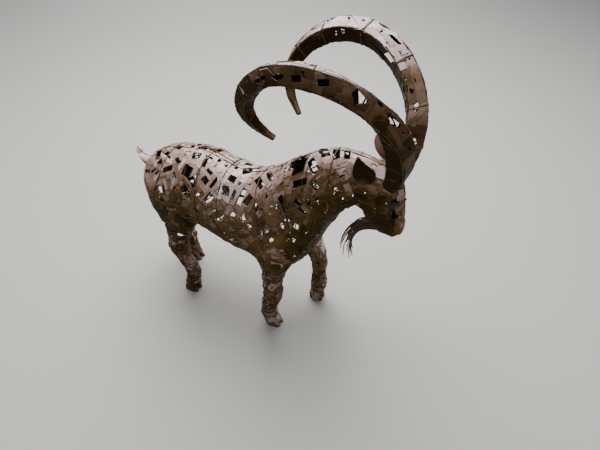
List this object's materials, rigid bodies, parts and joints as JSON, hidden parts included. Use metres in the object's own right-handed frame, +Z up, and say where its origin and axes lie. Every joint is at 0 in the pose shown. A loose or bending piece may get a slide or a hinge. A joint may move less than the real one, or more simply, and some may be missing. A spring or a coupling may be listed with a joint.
{
  "type": "ibex garden statue",
  "caption": "Striding ibex garden statue of openwork rusted steel patches, with long curled-back horns, a rod beard and a small upturned tail.",
  "frame": {"origin": "on the ground, under the middle of the statue's box", "axes": "+X the way the animal faces, +Y to the animal's left, +Z up"},
  "size_m": [1.116, 0.446, 1.1774],
  "materials": {
    "rusted_sheet": "rusted steel sheet under a clear semi-gloss lacquer",
    "dark_rod": "dark rusted round bar under a clear lacquer",
    "eye_steel": "dark polished steel ball"
  },
  "bodies": {
    "root": {"body": "rusted_sheet", "horn_left": "rusted_sheet", "horn_right": "rusted_sheet", "ear_left": "rusted_sheet", "ear_right": "rusted_sheet", "tail": "rusted_sheet", "eye_left": "eye_steel", "eye_right": "eye_steel", "beard_rod_1": "dark_rod", "beard_rod_2": "dark_rod", "beard_rod_3": "dark_rod", "beard_rod_4": "dark_rod", "beard_rod_5": "dark_rod", "beard_rod_6": "dark_rod", "beard_rod_7": "dark_rod", "beard_rod_8": "dark_rod", "beard_rod_9": "dark_rod", "beard_rod_10": "dark_rod", "beard_rod_11": "dark_rod"}
  },
  "joints": []
}
